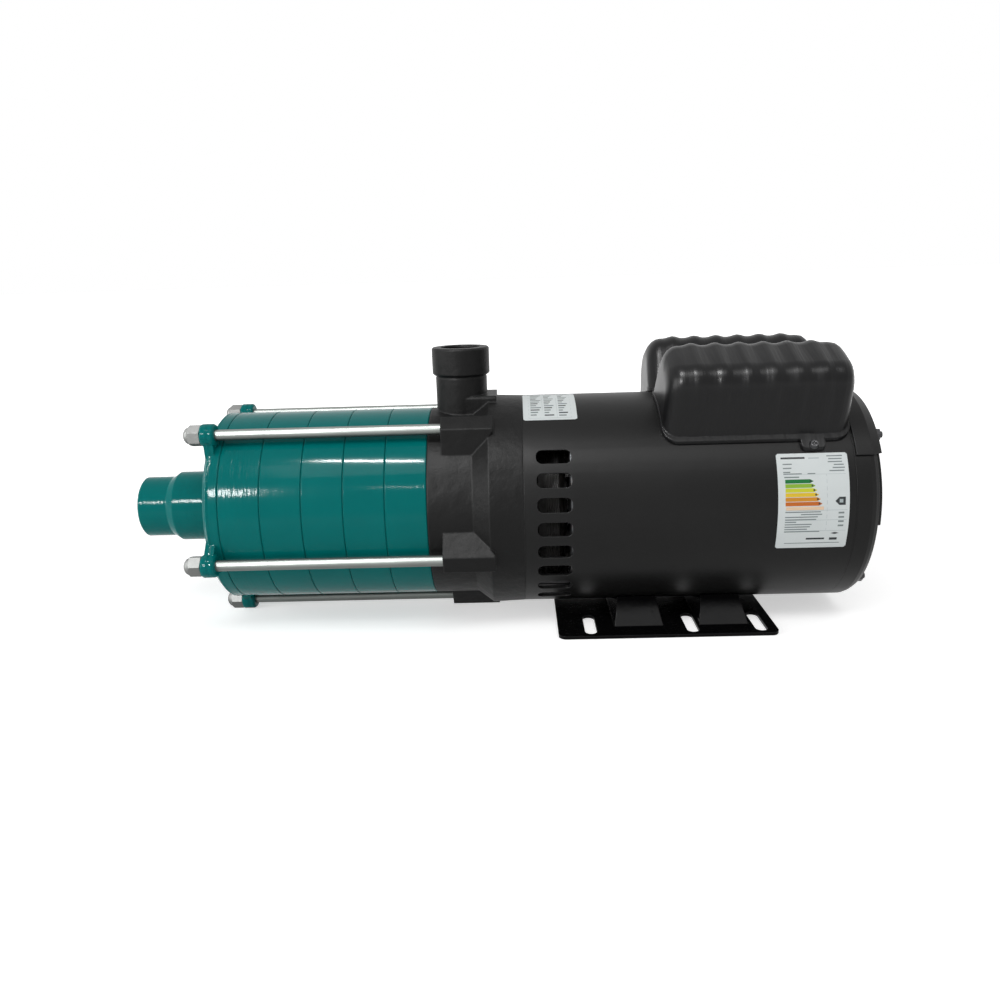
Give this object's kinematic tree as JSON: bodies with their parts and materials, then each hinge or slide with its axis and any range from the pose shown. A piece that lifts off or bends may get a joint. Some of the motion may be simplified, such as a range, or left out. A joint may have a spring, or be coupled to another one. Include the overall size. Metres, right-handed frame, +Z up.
{
  "type": "horizontal multistage pump",
  "caption": "Horizontal ring-section multistage centrifugal pump, close-coupled to an electric motor on a slotted foot, with tie rods and twin capacitor covers.",
  "frame": {"origin": "on the floor plane, at the centre of the foot's four outer slots, below the shaft", "axes": "+X along the shaft from the suction port to the motor's rear end, +Z up, +Y to the left of someone looking along +X"},
  "size_m": [0.5642, 0.1724, 0.2108],
  "materials": {
    "teal_paint": "gloss teal enamel with slight orange peel",
    "rubber": "matte",
    "zinc_rod": "bright zinc plating",
    "zinc_nut": "bright zinc plating",
    "machined_steel": "turned",
    "black_casting": "satin black paint over cast iron",
    "seal_ceramic": "lapped ceramic",
    "seal_carbon": "carbon and steel",
    "shield_aluminium": "as cast",
    "black_screw": "black oxide",
    "bearing_steel": "ground",
    "black_shell": "satin black powder coat",
    "lamination_steel": "stacked laminations",
    "copper_winding": "varnished copper wire",
    "brown_phenolic": "moulded phenolic",
    "black_plastic": "satin moulded plastic",
    "capacitor_can": "matte",
    "gloss_black": "gloss black paint",
    "dark_plastic": "moulded glass-filled plastic",
    "pale_plastic": "moulded glass-filled plastic"
  },
  "bodies": {
    "pump_frame": {"suction_cover": "teal_paint", "casing_o_rings": "rubber", "tie_rods": "zinc_rod", "tie_rod_nuts": "zinc_nut", "discharge_body": "black_casting", "seal_seat": "seal_ceramic", "front_shield": "shield_aluminium", "shield_screws": "black_screw", "front_bearing_outer": "bearing_steel", "rear_bearing_outer": "bearing_steel", "motor_shell": "black_shell", "stator_core": "lamination_steel", "windings": "copper_winding", "switch_plate": "brown_phenolic", "rear_bell": "black_shell", "through_bolts": "black_screw", "terminal_cover": "black_shell", "near_capacitor_cover": "black_plastic", "far_capacitor_cover": "black_plastic", "near_capacitor": "capacitor_can", "far_capacitor": "capacitor_can", "cover_screws": "black_screw", "base_plate": "gloss_black", "stage_casing_1": "teal_paint", "diffuser_1": "dark_plastic", "stage_casing_2": "teal_paint", "diffuser_2": "dark_plastic", "stage_casing_3": "teal_paint", "diffuser_3": "dark_plastic", "stage_casing_4": "teal_paint", "diffuser_4": "dark_plastic", "stage_casing_5": "teal_paint", "diffuser_5": "dark_plastic"},
    "rotor": {"motor_shaft": "machined_steel", "impeller_key": "machined_steel", "impeller_spacers": "machined_steel", "impeller_nut": "machined_steel", "seal_head": "seal_carbon", "seal_spring": "machined_steel", "rotor_core": "shield_aluminium", "governor_carrier": "machined_steel", "front_bearing_inner": "bearing_steel", "rear_bearing_inner": "bearing_steel", "impeller_1": "pale_plastic", "impeller_2": "pale_plastic", "impeller_3": "pale_plastic", "impeller_4": "pale_plastic", "impeller_5": "pale_plastic"},
    "front_cage": {"front_bearing_cage": "bearing_steel"},
    "rear_cage": {"rear_bearing_cage": "bearing_steel"},
    "governor": {"governor_collar": "brown_phenolic"}
  },
  "joints": [
    {"name": "rotor_spin", "type": "hinge", "parent": "pump_frame", "child": "rotor", "pos_m": [0, 0, 0.0889], "axis": [1, 0, 0], "continuous": true},
    {"name": "front_cage_spin", "type": "hinge", "parent": "pump_frame", "child": "front_cage", "pos_m": [0, 0, 0.0889], "axis": [1, 0, 0], "continuous": true},
    {"name": "rear_cage_spin", "type": "hinge", "parent": "pump_frame", "child": "rear_cage", "pos_m": [0, 0, 0.0889], "axis": [1, 0, 0], "continuous": true},
    {"name": "governor_slide", "type": "slide", "parent": "rotor", "child": "governor", "axis": [1, 0, 0], "range_m": [0, 0.003], "stiffness_N_per_m": 500}
  ],
  "couplings": [
    {"joint": "front_cage_spin", "follows": "rotor_spin", "ratio": 0.38158},
    {"joint": "rear_cage_spin", "follows": "rotor_spin", "ratio": 0.38158}
  ]
}
